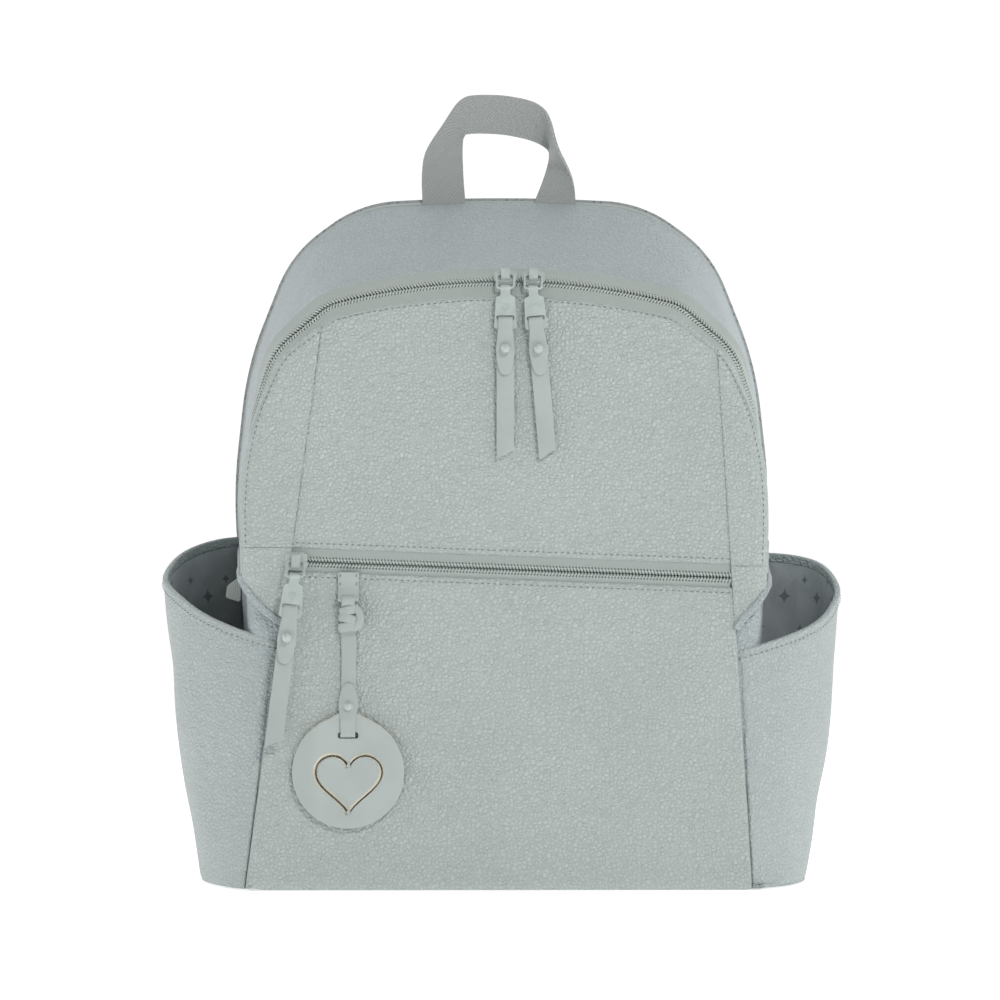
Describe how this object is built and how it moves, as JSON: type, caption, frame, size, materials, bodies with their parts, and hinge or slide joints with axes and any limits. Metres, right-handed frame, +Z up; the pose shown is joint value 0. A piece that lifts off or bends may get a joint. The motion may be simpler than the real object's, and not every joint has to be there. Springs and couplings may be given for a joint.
{
  "type": "diaper bag",
  "caption": "Backpack-style diaper bag with a zipped fold-down front flap, zipped front pocket, open side pockets, hanging round tag, top handle and shoulder straps.",
  "frame": {"origin": "middle of the base on the floor, under the body", "axes": "+Z up towards the handle, -Y out of the front face with the zipped pocket and tag, +Y towards the wearer's back, +X to the viewer's right from the front"},
  "size_m": [0.41, 0.2404, 0.481],
  "materials": {
    "leather": "fine pebbled grain, low sheen",
    "leather_pocket": "fine pebbled grain, low sheen",
    "back_mesh": "padded knitted mesh",
    "foam": "closed-cell foam sheet",
    "board": "stiffening sheet",
    "lining": "satin weave with small scattered motif",
    "zip_tape": "woven zip tape",
    "zip_coil": "moulded coil",
    "webbing": "twill webbing",
    "painted_metal": "satin paint",
    "stud": "gloss paint",
    "tag_leather": "smooth pressed leather",
    "moulded": "moulded nylon"
  },
  "bodies": {
    "bag": {"base_panel": "leather", "base_board": "board", "front_pocket_panel": "leather", "front_wedge_lower_left": "leather", "front_wedge_lower_right": "leather", "pocket_back_wall": "lining", "top_gusset": "leather", "side_panel_left": "leather", "side_panel_right": "leather", "back_panel": "back_mesh", "back_foam": "foam", "main_lining": "lining", "inner_pocket": "lining", "side_pocket_left": "leather_pocket", "side_pocket_right": "leather_pocket", "side_pocket_lining_left": "lining", "side_pocket_lining_right": "lining", "main_zip_tape_rear": "zip_tape", "main_zip_coil_rear": "zip_coil", "front_zip_tapes": "zip_tape", "front_zip_coils": "zip_coil", "zip_end_tabs": "leather", "tag_loop": "leather", "stroller_ring_tabs": "webbing", "strap_yoke": "back_mesh", "strap_lower_tabs": "webbing"},
    "flap": {"flap_panel": "leather", "flap_wedge_left": "leather", "flap_wedge_right": "leather", "flap_lining": "lining", "main_zip_tape_front": "zip_tape", "main_zip_coil_front": "zip_coil"},
    "main_slider_left": {"main_slider_left": "painted_metal"},
    "main_link_left": {"main_link_left": "painted_metal"},
    "main_pull_left": {"main_puller_left": "painted_metal", "main_pull_strap_left": "tag_leather", "main_pull_stud_left": "stud"},
    "main_slider_right": {"main_slider_right": "painted_metal"},
    "main_link_right": {"main_link_right": "painted_metal"},
    "main_pull_right": {"main_puller_right": "painted_metal", "main_pull_strap_right": "tag_leather", "main_pull_stud_right": "stud"},
    "front_slider": {"front_slider": "painted_metal"},
    "front_link": {"front_link": "painted_metal"},
    "front_pull": {"front_puller": "painted_metal", "front_pull_strap": "tag_leather", "front_pull_stud": "stud"},
    "tag_strap": {"tag_strap": "tag_leather", "tag_stud": "stud"},
    "tag_disc": {"tag_disc": "tag_leather"},
    "handle": {"top_handle": "webbing"},
    "strap_left": {"strap_pad_left": "back_mesh", "strap_webbing_left": "webbing", "ladder_lock_left": "moulded"},
    "strap_right": {"strap_pad_right": "back_mesh", "strap_webbing_right": "webbing", "ladder_lock_right": "moulded"},
    "ring_left": {"stroller_ring_left": "painted_metal"},
    "ring_right": {"stroller_ring_right": "painted_metal"}
  },
  "joints": [
    {"name": "flap_fold", "type": "hinge", "parent": "bag", "child": "flap", "pos_m": [0, -0.07773, 0.19604], "axis": [0.9993, -0.002, -0.0378], "range_deg": [0, 75]},
    {"name": "main_slider_left_run", "type": "hinge", "parent": "flap", "child": "main_slider_left", "pos_m": [0, -0.08527, -0.1199], "axis": [0, -0.9986, 0.0523], "range_deg": [0, 10.4]},
    {"name": "main_slider_right_run", "type": "hinge", "parent": "flap", "child": "main_slider_right", "pos_m": [0, -0.08527, -0.1199], "axis": [0, 0.9986, -0.0523], "range_deg": [0, 8.4]},
    {"name": "main_link_left_swing", "type": "hinge", "parent": "main_slider_left", "child": "main_link_left", "pos_m": [0.0006, -0.0632, 0.36282], "axis": [-1, 0.0001, 0.0012], "range_deg": [0, 60]},
    {"name": "main_pull_left_swing", "type": "hinge", "parent": "main_link_left", "child": "main_pull_left", "pos_m": [0.00059, -0.07241, 0.35452], "axis": [-1, 0.0001, 0.0012], "range_deg": [0, 45]},
    {"name": "main_link_right_swing", "type": "hinge", "parent": "main_slider_right", "child": "main_link_right", "pos_m": [0.01722, -0.06321, 0.36251], "axis": [-0.9994, 0.0019, 0.0356], "range_deg": [0, 60]},
    {"name": "main_pull_right_swing", "type": "hinge", "parent": "main_link_right", "child": "main_pull_right", "pos_m": [0.0169, -0.07243, 0.35422], "axis": [-0.9994, 0.0019, 0.0356], "range_deg": [0, 45]},
    {"name": "front_slider_run", "type": "slide", "parent": "bag", "child": "front_slider", "axis": [0.9993, -0.002, -0.0378], "range_m": [0, 0.244]},
    {"name": "front_link_swing", "type": "hinge", "parent": "front_slider", "child": "front_link", "pos_m": [-0.12291, -0.07966, 0.19349], "axis": [-0.9993, 0.002, 0.0378], "range_deg": [0, 60]},
    {"name": "front_pull_swing", "type": "hinge", "parent": "front_link", "child": "front_pull", "pos_m": [-0.12327, -0.08812, 0.18442], "axis": [-0.9993, 0.002, 0.0378], "range_deg": [0, 45]},
    {"name": "tag_lift", "type": "hinge", "parent": "bag", "child": "tag_strap", "pos_m": [-0.092, -0.08255, 0.17095], "axis": [-1, 0, 0], "range_deg": [0, 80]},
    {"name": "tag_disc_swing", "type": "hinge", "parent": "tag_strap", "child": "tag_disc", "pos_m": [-0.092, -0.08583, 0.09111], "axis": [0, -0.9986, 0.0523], "range_deg": [-14, 14]},
    {"name": "handle_fold", "type": "hinge", "parent": "bag", "child": "handle", "pos_m": [0, 0.0784, 0.4152], "axis": [1, 0, 0], "range_deg": [-70, 70]},
    {"name": "strap_left_swing", "type": "hinge", "parent": "bag", "child": "strap_left", "pos_m": [-0.047, 0.091, 0.372], "axis": [-0.2312, 0, -0.9729], "range_deg": [-15, 15]},
    {"name": "strap_right_swing", "type": "hinge", "parent": "bag", "child": "strap_right", "pos_m": [0.047, 0.091, 0.372], "axis": [0.2312, 0, -0.9729], "range_deg": [-15, 15]},
    {"name": "ring_left_swing", "type": "hinge", "parent": "bag", "child": "ring_left", "pos_m": [-0.108, 0.0876, 0.372], "axis": [1, 0, 0], "range_deg": [0, 90]},
    {"name": "ring_right_swing", "type": "hinge", "parent": "bag", "child": "ring_right", "pos_m": [0.108, 0.0876, 0.372], "axis": [1, 0, 0], "range_deg": [0, 90]}
  ]
}
